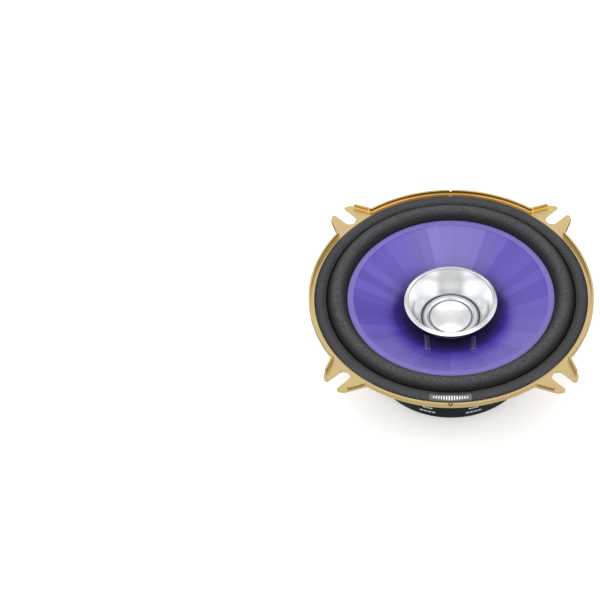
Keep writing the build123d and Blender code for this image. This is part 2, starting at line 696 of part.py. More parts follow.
tinsel_lead_negative = tinsel_lead(-1)
tinsel_lead_negative.part.label = "tinsel_lead_negative"
export_step(tinsel_lead_negative.part, "parts/tinsel_lead_negative.step")
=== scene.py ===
import math
import random

import bpy
import numpy as np
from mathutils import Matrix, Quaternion, Vector


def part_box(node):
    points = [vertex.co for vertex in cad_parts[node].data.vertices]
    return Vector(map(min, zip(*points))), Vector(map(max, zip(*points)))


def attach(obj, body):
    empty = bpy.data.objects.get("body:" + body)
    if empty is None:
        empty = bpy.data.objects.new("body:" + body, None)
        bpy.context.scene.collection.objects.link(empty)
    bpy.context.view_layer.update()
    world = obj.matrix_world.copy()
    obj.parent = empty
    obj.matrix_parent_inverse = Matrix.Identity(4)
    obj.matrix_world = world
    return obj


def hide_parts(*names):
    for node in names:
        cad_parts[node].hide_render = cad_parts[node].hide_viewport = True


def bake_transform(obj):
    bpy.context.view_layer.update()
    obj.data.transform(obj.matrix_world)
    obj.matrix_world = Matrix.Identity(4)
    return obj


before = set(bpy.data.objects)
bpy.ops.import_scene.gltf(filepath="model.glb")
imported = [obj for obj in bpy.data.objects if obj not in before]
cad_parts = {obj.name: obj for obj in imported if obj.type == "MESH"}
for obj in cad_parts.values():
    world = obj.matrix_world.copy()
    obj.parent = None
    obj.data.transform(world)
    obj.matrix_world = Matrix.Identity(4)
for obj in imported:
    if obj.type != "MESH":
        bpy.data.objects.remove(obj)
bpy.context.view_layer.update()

MM = 0.001
random.seed(7)


def size_mm(node):
    """A node's lowest and highest corners in millimetres."""
    low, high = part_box(node)
    return low / MM, high / MM


# ---------------------------------------------------------------- sizes that the frame doesn't hold
SHEET = 0.9                # the basket's steel, and so the flange's front
FOAM = 0.45
FOAM_TOP = SHEET + FOAM
LIP_R = 65.0               # outside of the basket's round lip; the ears reach past it
GASKET_INNER_R = 57.0
GASKET_GROOVES = (57.55, 58.05)
GROOVE_R = 56.5            # outer foot of the foam's roll
GROOVE_Z = 0.5
ROLL_CENTRE_R = 51.8
CONE_BAND_R = 44.4         # inside of the cone's flat rim band
CONE_SLOPE = 0.4855        # rise of the cone's front per length of radius
CONE_THICKNESS = 0.4
FACETS = 48
FACETS_FROM_R = 17.0       # the flats start here, and are full 6 mm further out
SPIDER_BORE_R = 13.1
SPIDER_WAVES_R = 32.0
CLOTH_THICKNESS = 0.4
WHIZZER_EDGE_Z = -2.95
WHIZZER_CREST_R = 19.5
CAP_BASE = -13.9
DOME_R = 9.3
BEAD_X = 10.1              # the beads and eyelets, either side of the middle
EYELET_Y = -23.4
TERMINAL_X = 7.0           # the terminal rivets, either side of the middle
TERMINAL_Z = -12.3
BADGE_R = 60.8             # middle of the badge, which lies along the gasket

# ---------------------------------------------------------------- sizes, from the frame
LIP_TOP = size_mm("basket_frame")[1].z
GASKET_R = size_mm("gasket_ring")[1].x
GASKET_CREST = size_mm("gasket_ring")[1].z
ROLL_CREST = size_mm("surround")[1].z
CONE_R = size_mm("main_cone")[1].x
CONE_TOP = size_mm("main_cone")[1].z
FORMER_R = size_mm("coil_former")[1].x
WHIZZER_R = size_mm("whizzer_cone")[1].x
WHIZZER_TOP = size_mm("whizzer_cone")[1].z
CAP_TOP = size_mm("centre_cap")[1].z
SPIDER_R = size_mm("spider")[1].x
LEDGE_Z = size_mm("spider")[1].z - CLOTH_THICKNESS
MAGNET_R = size_mm("magnet")[1].x
REST_Z = size_mm("back_plate")[0].z
BOARD_FRONT_Y = size_mm("terminal_board")[1].y


def cone_front(radius):
    """Height of the cone's front at a radius between the neck and the rim band."""
    return CONE_TOP - (CONE_BAND_R - radius) * CONE_SLOPE


# ---------------------------------------------------------------- mesh tools
def rounded(points, radius, steps=5):
    """The points with each inner corner rounded, by radius or as much as its two runs allow."""
    out = [points[0]]
    for before, corner, after in zip(points, points[1:], points[2:]):
        p, q, r = (np.array(v, float) for v in (before, corner, after))
        into, away = (p - q), (r - q)
        run = min(np.linalg.norm(into), np.linalg.norm(away)) * 0.48
        into, away = into / np.linalg.norm(into), away / np.linalg.norm(away)
        half = math.acos(max(-1, min(1, float(into @ away)))) / 2
        reach = min(radius / math.tan(half), run)
        start, end = q + into * reach, q + away * reach
        for step in range(steps + 1):
            t = step / steps
            out.append(tuple((1 - t) ** 2 * start + 2 * t * (1 - t) * q + t**2 * end))
    out.append(points[-1])
    return out


def arc_through(a, b, c, steps):
    """Points on the circle through three points, from the first to the last."""
    (ax, ay), (bx, by), (cx, cy) = a, b, c
    d = 2 * (ax * (by - cy) + bx * (cy - ay) + cx * (ay - by))
    ux = ((ax**2 + ay**2) * (by - cy) + (bx**2 + by**2) * (cy - ay) + (cx**2 + cy**2) * (ay - by)) / d
    uy = ((ax**2 + ay**2) * (cx - bx) + (bx**2 + by**2) * (ax - cx) + (cx**2 + cy**2) * (bx - ax)) / d
    radius = math.hypot(ax - ux, ay - uy)
    first, last = math.atan2(ay - uy, ax - ux), math.atan2(cy - uy, cx - ux)
    return [
        (ux + radius * math.cos(first + (last - first) * i / steps),
         uy + radius * math.sin(first + (last - first) * i / steps))
        for i in range(steps + 1)
    ]


def new_mesh(name, points, faces, sharp_deg=32):
    """An object from points in millimetres, shaded smooth except at sharp edges."""
    mesh = bpy.data.meshes.new(name)
    mesh.from_pydata([tuple(c * MM for c in p) for p in points], [], faces)
    mesh.validate()
    mesh.update()
    mesh.shade_smooth()
    mesh.set_sharp_from_angle(angle=math.radians(sharp_deg))
    obj = bpy.data.objects.new(name, mesh)
    bpy.context.scene.collection.objects.link(obj)
    return obj


def lathe(name, profile, steps=288, facet=None, sharp_deg=32):
    """Turns a closed outline of (radius, height) points round Z. A point on the axis becomes one
    vertex. facet(radius) says how far, from 0 to 1, the ring there is pressed into flats."""
    per_facet = 2 * math.pi / FACETS
    points, rings = [], []
    for radius, height in profile:
        if radius < 1e-6:
            rings.append([len(points)] * steps)
            points.append((0, 0, height))
            continue
        flat = 0 if facet is None else facet(radius)
        ring = []
        for step in range(steps):
            angle = 2 * math.pi * step / steps
            off_centre = (angle % per_facet) - per_facet / 2
            pressed = 1 - math.cos(per_facet / 2) / math.cos(off_centre)
            reach = radius * (1 - flat * pressed)
            ring.append(len(points))
            points.append((reach * math.cos(angle), reach * math.sin(angle), height))
        rings.append(ring)
    faces = []
    for ring, following in zip(rings, rings[1:] + rings[:1]):
        if ring[0] == ring[-1] and following[0] == following[-1]:
            continue
        for step in range(steps):
            after = (step + 1) % steps
            corners = [ring[step], following[step], following[after], ring[after]]
            faces.append([c for i, c in enumerate(corners) if c != corners[i - 1]])
    return new_mesh(name, points, faces, sharp_deg)


def tube(points, radius, sides=8):
    """Vertices and faces of a round tube along points, with closed ends."""
    path = [Vector(p) for p in points]
    verts, faces = [], []
    normal = Vector((0, 0, 1)).cross(path[1] - path[0])
    if normal.length < 1e-6:
        normal = Vector((1, 0, 0))
    for index, point in enumerate(path):
        tangent = (path[min(index + 1, len(path) - 1)] - path[max(index - 1, 0)]).normalized()
        normal = (normal - tangent * normal.dot(tangent)).normalized()
        side = tangent.cross(normal)
        for step in range(sides):
            angle = 2 * math.pi * step / sides
            verts.append(tuple(point + (normal * math.cos(angle) + side * math.sin(angle)) * radius))
    for index in range(len(path) - 1):
        for step in range(sides):
            a, b = index * sides + step, index * sides + (step + 1) % sides
            faces.append((a, b, b + sides, a + sides))
    faces.append(tuple(reversed(range(sides))))
    faces.append(tuple(range(len(verts) - sides, len(verts))))
    return verts, faces


def join(parts):
    """Several (vertices, faces) as one."""
    verts, faces = [], []
    for some_verts, some_faces in parts:
        start = len(verts)
        verts += some_verts
        faces += [tuple(start + i for i in face) for face in some_faces]
    return verts, faces


# ---------------------------------------------------------------- material tools
def shader_inputs(material):
    """The inputs of a material's Principled shader."""
    return material.node_tree.nodes["Principled BSDF"].inputs


def new_material(name, colour, metallic=0.0, roughness=0.5, **sockets):
    """A Principled material. sockets are other inputs by name, with _ for a space."""
    material = bpy.data.materials.new(name)
    material.use_nodes = True
    inputs = shader_inputs(material)
    inputs["Base Color"].default_value = (*colour, 1)
    inputs["Metallic"].default_value = metallic
    inputs["Roughness"].default_value = roughness
    for socket, value in sockets.items():
        inputs[socket.replace("_", " ")].default_value = value
    return material


def add(material, kind, **values):
    """A node with its inputs or properties set by name."""
    node = material.node_tree.nodes.new(kind)
    for key, value in values.items():
        label = key.replace("_", " ")
        if label in node.inputs:
            node.inputs[label].default_value = value
        else:
            setattr(node, key, value)
    return node


def wire(material, source, target):
    material.node_tree.links.new(source, target)


def place_on(material):
    """The place on the piece, in metres. Every piece's own origin is the row frame's."""
    return add(material, "ShaderNodeTexCoord").outputs["Object"]


def axes_of(material):
    """X, Y and Z of the place on the piece, in metres."""
    split = add(material, "ShaderNodeSeparateXYZ")
    wire(material, place_on(material), split.inputs["Vector"])
    return split.outputs["X"], split.outputs["Y"], split.outputs["Z"]


def noise(material, feature_mm, detail=4.0, roughness=0.6, stretch=None):
    """A noise texture whose features are about feature_mm across."""
    place = place_on(material)
    if stretch is not None:
        mapping = add(material, "ShaderNodeMapping", Scale=stretch)
        wire(material, place, mapping.inputs["Vector"])
        place = mapping.outputs["Vector"]
    node = add(material, "ShaderNodeTexNoise", Detail=detail, Roughness=roughness)
    node.inputs["Scale"].default_value = 1 / (feature_mm * MM)
    wire(material, place, node.inputs["Vector"])
    return node.outputs["Fac"]


def ramp(material, factor, stops):
    """A colour ramp over factor, from (position, colour) stops."""
    node = add(material, "ShaderNodeValToRGB")
    wire(material, factor, node.inputs["Fac"])
    elements = node.color_ramp.elements
    while len(elements) < len(stops):
        elements.new(0.5)
    for element, (position, colour) in zip(elements, stops):
        element.position = position
        element.color = (*colour, 1)
    return node.outputs["Color"]


def mix(material, factor, a, b, blend="MIX"):
    """The colours a and b, mixed by factor. Each may be a socket or a value."""
    node = add(material, "ShaderNodeMix", data_type="RGBA", blend_type=blend)
    for socket, value in (("Factor", factor), ("A", a), ("B", b)):
        if isinstance(value, bpy.types.NodeSocket):
            wire(material, value, node.inputs[socket])
        else:
            node.inputs[socket].default_value = value
    return node.outputs["Result"]


def spread(material, factor, low, high, from_low=0.3, from_high=0.7, curve="LINEAR"):
    """factor, remapped to run from low to high and held there."""
    node = add(material, "ShaderNodeMapRange", interpolation_type=curve)
    wire(material, factor, node.inputs["Value"])
    node.inputs["From Min"].default_value = from_low
    node.inputs["From Max"].default_value = from_high
    node.inputs["To Min"].default_value = low
    node.inputs["To Max"].default_value = high
    return node.outputs["Result"]


def math_node(material, operation, a, b=None):
    """A Math node over sockets or numbers."""
    node = add(material, "ShaderNodeMath", operation=operation)
    for index, value in enumerate((a, b)):
        if value is None:
            continue
        if isinstance(value, (int, float)):
            node.inputs[index].default_value = value
        else:
            wire(material, value, node.inputs[index])
    return node.outputs["Value"]


def radius_of(material):
    """Distance from the speaker's axis, in millimetres."""
    x, y, _ = axes_of(material)
    squares = [math_node(material, "POWER", axis, 2.0) for axis in (x, y)]
    radius = math_node(material, "SQRT", math_node(material, "ADD", *squares))
    return math_node(material, "MULTIPLY", radius, 1 / MM)


def height_of(material):
    """Height in millimetres."""
    return math_node(material, "MULTIPLY", axes_of(material)[2], 1 / MM)


def waves(material, distance, pitch):
    """A sine over distance, which repeats every pitch. Both are in the same unit."""
    return math_node(material, "SINE", math_node(material, "MULTIPLY", distance, 2 * math.pi / pitch))


def bump(material, height, depth_mm, under=None):
    """Bumps the shader's normal by height, depth_mm deep, over another bump if there is one."""
    node = add(material, "ShaderNodeBump", Strength=1.0, Distance=depth_mm * MM)
    wire(material, height, node.inputs["Height"])
    if under is not None:
        wire(material, under, node.inputs["Normal"])
    return node.outputs["Normal"]


def shader_input(material, socket, source):
    """Wires something that varies over the surface to one of the shader's inputs."""
    wire(material, source, shader_inputs(material)[socket])


# ---------------------------------------------------------------- materials
def make_zinc():
    """Yellow zinc chromate on pressed steel: gold with faint green and pink clouds, with painted shade
    on the walls: dark brown inside the lip and a darker brown on the ears' walls."""
    m = new_material("zinc_chromate", (0.74, 0.57, 0.26), metallic=1.0, roughness=0.26)
    greenish, plain, pinkish = (0.74, 0.62, 0.28), (0.78, 0.60, 0.29), (0.80, 0.55, 0.30)
    clouds = noise(m, 22, detail=3)
    gold = ramp(m, clouds, [(0.30, greenish), (0.5, plain), (0.72, pinkish)])
    # Painted shade: the lip's inner wall is painted dark brown and the ears' walls a darker brown, as if
    # in shade.
    inside, outside, ears = (0.19, 0.105, 0.030), (0.76, 0.54, 0.24), (0.40, 0.245, 0.095)
    outward = spread(m, radius_of(m), 0.0, 1.0, LIP_R - 0.1, LIP_R + 0.9)
    stops = [(0.0, inside), (0.05, inside), (0.07, outside), (0.3, outside), (0.9, ears)]
    painted_wall_shade = ramp(m, outward, stops)
    height = height_of(m)
    above_flange = spread(m, height, 0.0, 1.0, SHEET + 0.35, SHEET + 0.6)
    below_edge = spread(m, height, 1.0, 0.0, LIP_TOP - 0.08, LIP_TOP - 0.02)
    on_walls = math_node(m, "MULTIPLY", above_flange, below_edge)
    shader_input(m, "Base Color", mix(m, on_walls, gold, painted_wall_shade))
    shader_input(m, "Roughness", spread(m, noise(m, 12, detail=1), 0.27, 0.33))
    shader_input(m, "Normal", bump(m, noise(m, 2.2, detail=2), 0.006))
    return m


def make_gasket():
    """Moulded dark rubber with a fine grain."""
    m = new_material("gasket_rubber", (0.02, 0.02, 0.022), roughness=0.55, Specular_IOR_Level=0.5)
    dark, pale = (0.013, 0.013, 0.015), (0.040, 0.040, 0.045)
    shader_input(m, "Base Color", ramp(m, noise(m, 0.6, detail=2), [(0.35, dark), (0.7, pale)]))
    shader_input(m, "Roughness", spread(m, noise(m, 0.5), 0.42, 0.7))
    shader_input(m, "Normal", bump(m, noise(m, 0.5, detail=2), 0.14))
    return m


def make_foam():
    """Open-cell foam with a skin: dark, with a broken sheen, and with painted light and shade: grey
    along the top of the roll and near black towards its feet.
    """
    m = new_material("black_foam", (0.02, 0.02, 0.022), roughness=0.5, Specular_IOR_Level=0.32)
    # Painted light and shade: the roll's colour goes from near black at its feet to grey at its top, as
    # if lit from above.
    painted_crest_light = spread(m, height_of(m), 0.0, 1.0, ROLL_CREST - 1.7, ROLL_CREST)
    speckle = spread(m, noise(m, 0.55, detail=3, roughness=0.8), 0.2, 1.0, 0.40, 0.60)
    tone = math_node(m, "ADD", math_node(m, "POWER", painted_crest_light, 1.8), 0.05)
    tone = math_node(m, "MULTIPLY", tone, speckle)
    black, grey = (0.0015, 0.0015, 0.002), (0.068, 0.068, 0.073)
    shader_input(m, "Base Color", ramp(m, tone, [(0.0, black), (1.0, grey)]))
    shader_input(m, "Roughness", spread(m, noise(m, 0.6, detail=2), 0.45, 0.75))
    pores = add(m, "ShaderNodeTexVoronoi", Scale=1 / (0.8 * MM))
    wire(m, place_on(m), pores.inputs["Vector"])
    soft = bump(m, noise(m, 1.1, detail=2), 0.28)
    shader_input(m, "Normal", bump(m, pores.outputs["Distance"], 0.18, under=soft))
    return m


def make_cone_film():
    """Violet film, each flat in a tone of its own, paler on the rim band, and with painted shade that
    darkens it beside the bowl. It has fine concentric lines, and its sheen runs along the radius."""
    m = new_material(
        "violet_film", (0.10, 0.07, 0.36), roughness=0.24, Anisotropic=0.4, Specular_IOR_Level=0.85,
    )
    tangent = add(m, "ShaderNodeTangent", direction_type="RADIAL", axis="Z")
    shader_input(m, "Tangent", tangent.outputs["Tangent"])
    tone = add(m, "ShaderNodeAttribute", attribute_name="facet_tone").outputs["Fac"]
    facets = ramp(m, tone, [(0.0, (0.054, 0.034, 0.285)), (1.0, (0.084, 0.058, 0.350))])
    full = CONE_R + 1
    edge = math_node(m, "DIVIDE", radius_of(m), full)
    band_from = CONE_BAND_R / full
    band = ramp(m, edge, [(band_from, (0, 0, 0)), (band_from + 0.006, (1, 1, 1))])
    colour = mix(m, band, facets, (0.125, 0.098, 0.350, 1))
    # Painted shade: a ring of darkening beside the bowl.
    shadow = ramp(m, edge, [
        (0.45, (0.20, 0.10, 0.22)), (0.53, (0.40, 0.27, 0.56)), (0.58, (0.82, 0.77, 0.93)),
        (0.65, (1, 1, 1)),
    ])
    shader_input(m, "Base Color", mix(m, 1.0, colour, shadow, blend="MULTIPLY"))
    lines = bump(m, waves(m, radius_of(m), 0.8), 0.012)
    shader_input(m, "Normal", bump(m, noise(m, 0.35), 0.012, under=lines))
    return m


def make_chrome():
    """Metallised film: bright, with a little haze, and with painted reflection and shade by radius:
    duller on the cap's steps and the foot of the bowl's wall, dark in the creases at the dome's foot and
    between the cap and the bowl, grey on the bowl's lip.
    """
    m = new_material("chrome", (0.88, 0.89, 0.90), metallic=0.78, roughness=0.17)
    bright, cap, dull_reflection = (0.88, 0.89, 0.90), (0.82, 0.83, 0.84), (0.67, 0.68, 0.69)
    edge, dark = (0.42, 0.43, 0.43), (0.18, 0.19, 0.20)
    # Painted reflection and shade: these tones by radius stand in for dull and dark reflections and for
    # shade in the creases.
    tones = [
        (0.0, cap), (9.25, cap), (9.55, dark), (10.05, dark), (10.45, dull_reflection), (12.55, dull_reflection),
        (12.95, dark), (13.4, dark), (13.8, dull_reflection), (15.0, bright), (19.1, bright),
        (19.3, edge), (19.5, edge), (19.7, bright),
    ]
    full = 20.0
    stops = [(radius / full, tone) for radius, tone in tones]
    shader_input(m, "Base Color", ramp(m, math_node(m, "DIVIDE", radius_of(m), full), stops))
    haze = spread(m, noise(m, 6.0, detail=1), 0.16, 0.19)
    satin_dome = spread(m, radius_of(m), 0.14, 0.0, DOME_R - 0.4, DOME_R + 0.4)
    shader_input(m, "Roughness", math_node(m, "ADD", haze, satin_dome))
    shader_input(m, "Normal", bump(m, noise(m, 5.0), 0.012))
    return m


def make_metal(name, colour, roughness, grain_mm, metallic=1.0, specular=0.5):
    """Steel, brass or a hard black coating, with a fine uneven grain."""
    m = new_material(name, colour, metallic, roughness, Specular_IOR_Level=specular)
    dark = tuple(c * 0.8 for c in colour)
    shader_input(m, "Base Color", ramp(m, noise(m, grain_mm * 6), [(0.3, dark), (0.7, colour)]))
    shader_input(m, "Roughness", spread(m, noise(m, grain_mm * 3), roughness * 0.85, roughness * 1.15))
    shader_input(m, "Normal", bump(m, noise(m, grain_mm), 0.02))
    return m


def make_glue():
    """Dark glue that takes on the violet of the cone below it."""
    m = new_material(
        "dark_glue", (0.06, 0.035, 0.20), roughness=0.14, Transmission_Weight=0.3, IOR=1.47,
    )
    cloud = ramp(m, noise(m, 2.0), [(0.3, (0.030, 0.016, 0.11)), (0.7, (0.065, 0.038, 0.20))])
    shader_input(m, "Base Color", cloud)
    shader_input(m, "Roughness", spread(m, noise(m, 1.5), 0.10, 0.22))
    shader_input(m, "Normal", bump(m, noise(m, 1.2), 0.04))
    return m


def make_cloth():
    """Resin-stiffened woven cloth."""
    m = new_material("spider_cloth", (0.50, 0.36, 0.16), roughness=0.85, Sheen_Weight=0.2)
    x, y, _ = axes_of(m)
    weave = math_node(m, "ADD", waves(m, x, 0.6 * MM), waves(m, y, 0.6 * MM))
    low, high = (0.30, 0.20, 0.08), (0.60, 0.44, 0.21)
    shader_input(m, "Base Color", ramp(m, spread(m, weave, 0, 1, -2, 2), [(0.0, low), (1.0, high)]))
    shader_input(m, "Normal", bump(m, weave, 0.05))
    return m


def make_copper():
    """Copper, for the coil, its leads and the braided leads."""
    m = new_material("enamelled_copper", (0.75, 0.33, 0.16), metallic=1.0, roughness=0.28)
    tones = ramp(m, noise(m, 0.8), [(0.3, (0.62, 0.25, 0.11)), (0.7, (0.82, 0.40, 0.20))])
    shader_input(m, "Base Color", tones)
    return m


def make_board():
    """Pressed fibre board with fibres along X."""
    m = new_material("fibre_board", (0.20, 0.085, 0.03), roughness=0.55)
    fibres = noise(m, 0.6, stretch=(0.25, 1, 1))
    tones = ramp(m, fibres, [(0.3, (0.13, 0.05, 0.02)), (0.7, (0.27, 0.12, 0.05))])
    shader_input(m, "Base Color", tones)
    shader_input(m, "Normal", bump(m, noise(m, 0.3), 0.03))
    return m


def make_ink(name, colour):
    """Ink or a thin printed plate."""
    m = new_material(name, colour, roughness=0.45)
    dark = tuple(c * 0.85 for c in colour)
    shader_input(m, "Base Color", ramp(m, noise(m, 0.4), [(0.2, dark), (0.6, colour)]))
    return m


ZINC, GASKET, FOAM_BLACK = make_zinc(), make_gasket(), make_foam()
FILM, CHROME, GLUE, CLOTH = make_cone_film(), make_chrome(), make_glue(), make_cloth()
COPPER, BOARD = make_copper(), make_board()
PHOSPHATE = make_metal("black_phosphate", (0.035, 0.036, 0.040), 0.5, 0.3, metallic=0.4)
FERRITE = make_metal("black_ferrite", (0.004, 0.007, 0.009), 0.42, 0.35, metallic=0.0, specular=0.15)
BRIGHT = make_metal("bright_steel", (0.55, 0.55, 0.56), 0.35, 0.3)
BRASS = make_metal("brass", (0.80, 0.60, 0.28), 0.30, 0.25)
TINNED = make_metal("tinned_brass", (0.72, 0.71, 0.68), 0.30, 0.25)
ALUMINIUM = make_metal("former_sheet", (0.70, 0.70, 0.71), 0.35, 0.3)
SILVER_INK = make_ink("silver_ink", (0.72, 0.72, 0.74))
PALE_INK = make_ink("pale_ink", (0.50, 0.50, 0.52))
GREY_INK = make_ink("grey_ink", (0.11, 0.11, 0.118))


def finish_piece(obj, material, body=None, replaces=()):
    """Gives a piece its material, slot and body, and hides the CAD nodes that it stands for."""
    obj.data.materials.clear()
    obj.data.materials.append(material)
    if body:
        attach(obj, body)
    if replaces:
        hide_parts(*replaces)
    return obj


# ---------------------------------------------------------------- pieces of the basket side
def gasket_height(r):
    """Height of the gasket's domed top."""
    middle = (GASKET_R + GASKET_INNER_R) / 2
    bow = (GASKET_CREST - SHEET - 0.15) / (GASKET_R - middle) ** 2
    return GASKET_CREST - bow * (r - middle) ** 2


def build_gasket():
    """A domed ring with two fine grooves beside its inner edge."""
    steps, groove_depth, groove_half = 70, 0.13, 0.09
    top = []
    for step in range(steps + 1):
        r = GASKET_R - (GASKET_R - GASKET_INNER_R) * step / steps
        z = gasket_height(r)
        for groove in GASKET_GROOVES:
            z -= groove_depth * math.exp(-(((r - groove) / groove_half) ** 2))
        top.append((r, z))
    under = [
        (GASKET_INNER_R + 0.1, FOAM_TOP + 0.02), (GASKET_R - 1.15, FOAM_TOP + 0.02),
        (GASKET_R - 1.1, SHEET + 0.01), (GASKET_R - 0.05, SHEET + 0.01),
    ]
    obj = lathe("gasket", top + under, steps=360, sharp_deg=50)
    return finish_piece(obj, GASKET, "frame", ("gasket_ring",))


def surround_outline():
    """The foam's section: outer flange, groove, half roll and inner flange, one skin thick."""
    edge_r = GASKET_R - 1.2
    foot = (CONE_R + 0.15, 0.0)
    flange = rounded([(edge_r, FOAM_TOP), (57.35, FOAM_TOP), (GROOVE_R + 0.02, GROOVE_Z)], 0.5)
    roll = arc_through((GROOVE_R, GROOVE_Z), (ROLL_CENTRE_R, ROLL_CREST), foot, 44)
    inner = [(CONE_R - 0.3, 0.0), (CONE_BAND_R + 0.5, 0.0), (CONE_BAND_R + 0.5, -FOAM)]
    back_start, back_end = (CONE_R + 0.65, -FOAM), (GROOVE_R - 0.6, -0.1)
    back = arc_through(back_start, (ROLL_CENTRE_R, ROLL_CREST - FOAM), back_end, 30)
    outer = [
        (56.95, -0.1), (57.05, 0.3), (57.3, 0.72), (57.9, SHEET + 0.02), (edge_r, SHEET + 0.02),
    ]
    return flange[:-1] + roll + inner + back + outer


def radial_blend(obj, moving_r, fixed_r):
    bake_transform(obj)
    for vertex in obj.data.vertices:
        share = (math.hypot(vertex.co.x, vertex.co.y) / MM - moving_r) / (fixed_r - moving_r)
        share = max(0.0, min(1.0, share))


def build_surround():
    """The foam surround, from the cone to the basket."""
    obj = lathe("foam_surround", surround_outline(), steps=384, sharp_deg=60)
    finish_piece(obj, FOAM_BLACK, replaces=("surround",))
    radial_blend(obj, CONE_R + 0.3, GROOVE_R - 0.1)
    return obj


def build_spider():
    """Corrugated cloth from the former to the basket's ledge."""
    steps, wave_count, wave_height = 96, 4, 1.2
    bore, cloth = SPIDER_BORE_R, CLOTH_THICKNESS
    top = []
    for step in range(steps + 1):
        r = bore + 0.2 + (SPIDER_WAVES_R - bore) * step / steps
        phase = 2 * math.pi * wave_count * step / steps
        top.append((r, LEDGE_Z + cloth - wave_height / 2 + math.cos(phase) * wave_height / 2))
    collar = [(bore, LEDGE_Z - 1.3), (bore, LEDGE_Z + 0.35)]
    flange = [(SPIDER_R, LEDGE_Z + cloth), (SPIDER_R, LEDGE_Z + 0.02)]
    under = [(r, z - cloth + 0.02) for r, z in reversed(top)]
    collar_inside = [(bore + 0.4, LEDGE_Z - 0.6), (bore + 0.4, LEDGE_Z - 1.3)]
    outline = collar + top[1:] + flange + under[:-2] + collar_inside
    obj = lathe("spider_cloth", outline, steps=240, sharp_deg=60)
    finish_piece(obj, CLOTH, replaces=("spider",))
    radial_blend(obj, bore + 0.6, SPIDER_WAVES_R - 0.2)
    return obj


# ---------------------------------------------------------------- pieces of the cone assembly
def build_cone():
    """The main cone: a round neck, shallow flats that open towards the rim, and a round band."""
    neck_z = cone_front(FORMER_R)
    body = [(r, cone_front(r)) for r in np.linspace(CONE_BAND_R, FORMER_R + 0.4, 34)]
    band_in = (CONE_BAND_R + 1.1, CONE_TOP - 0.02)
    rim = rounded([(CONE_R, CONE_TOP - 0.35), (CONE_R, CONE_TOP), band_in], 0.15)
    step_in = [(CONE_BAND_R + 0.35, CONE_TOP + 0.03), (CONE_BAND_R + 0.12, CONE_TOP + 0.02)]
    neck = rounded([body[-1], (FORMER_R + 0.02, neck_z), (FORMER_R + 0.02, neck_z - 2.2)], 0.4)
    back = [
        (FORMER_R + 0.42, neck_z - 2.2), (FORMER_R + 0.42, neck_z - 0.4),
        (CONE_BAND_R, CONE_TOP - 0.45), (CONE_R - 0.02, CONE_TOP - 0.4),
    ]

    def facet(radius):
        if radius >= CONE_BAND_R + 0.05 or radius <= FACETS_FROM_R:
            return 0.0
        return min(1.0, (radius - FACETS_FROM_R) / 6.0)

    outline = rim + step_in + body[:-1] + neck + back
    obj = lathe("violet_cone", outline, steps=FACETS * 6, facet=facet)
    tone = obj.data.attributes.new("facet_tone", "FLOAT", "FACE")
    tones = [random.random() for _ in range(FACETS)]
    values = []
    for face in obj.data.polygons:
        angle = math.atan2(face.center.y, face.center.x) % (2 * math.pi)
        values.append(tones[int(angle / (2 * math.pi) * FACETS) % FACETS])
    tone.data.foreach_set("value", values)
    return finish_piece(obj, FILM, "cone_assembly", ("main_cone",))


def sharpen_facets(obj):
    """Marks the borders between the flats as sharp, so that each flat shades by itself."""
    mesh = obj.data
    sharp = mesh.attributes.get("sharp_edge")
    if sharp is None:
        sharp = mesh.attributes.new("sharp_edge", "BOOLEAN", "EDGE")
    flags = np.zeros(len(mesh.edges), bool)
    sharp.data.foreach_get("value", flags)
    coords = np.array([v.co for v in mesh.vertices]) / MM
    angle = np.degrees(np.arctan2(coords[:, 1], coords[:, 0])) % 360
    radius = np.hypot(coords[:, 0], coords[:, 1])
    per_facet = 360 / FACETS
    for edge in mesh.edges:
        a, b = edge.vertices
        on_border = all(abs((angle[i] + 1e-3) % per_facet - 1e-3) < 2e-2 for i in (a, b))
        along = abs(radius[a] - radius[b]) > 0.05
        inner, outer = sorted((radius[a], radius[b]))
        pressed = inner > FACETS_FROM_R + 0.5 and outer < CONE_BAND_R + 0.2
        if on_border and along and pressed:
            flags[edge.index] = True
    sharp.data.foreach_set("value", flags)


def build_whizzer():
    """The chrome bowl: a rolled lip that slopes out, a steep wall and a collar at the neck."""
    front = rounded(
        [(WHIZZER_R, WHIZZER_EDGE_Z), (WHIZZER_R - 0.1, WHIZZER_EDGE_Z + 0.22),
         (WHIZZER_CREST_R, WHIZZER_TOP + 0.14), (FORMER_R + 0.4, CAP_BASE + 0.4),
         (FORMER_R + 0.02, CAP_BASE - 0.45)],
        0.45, steps=8,
    )
    back = [
        (FORMER_R + 0.36, CAP_BASE - 0.5), (FORMER_R + 0.75, CAP_BASE + 0.25),
        (WHIZZER_CREST_R + 0.2, WHIZZER_TOP - 0.45), (WHIZZER_R - 0.1, WHIZZER_EDGE_Z - 0.25),
    ]
    obj = lathe("whizzer_bowl", front + back, steps=384, sharp_deg=40)
    return finish_piece(obj, CHROME, "cone_assembly", ("whizzer_cone",))


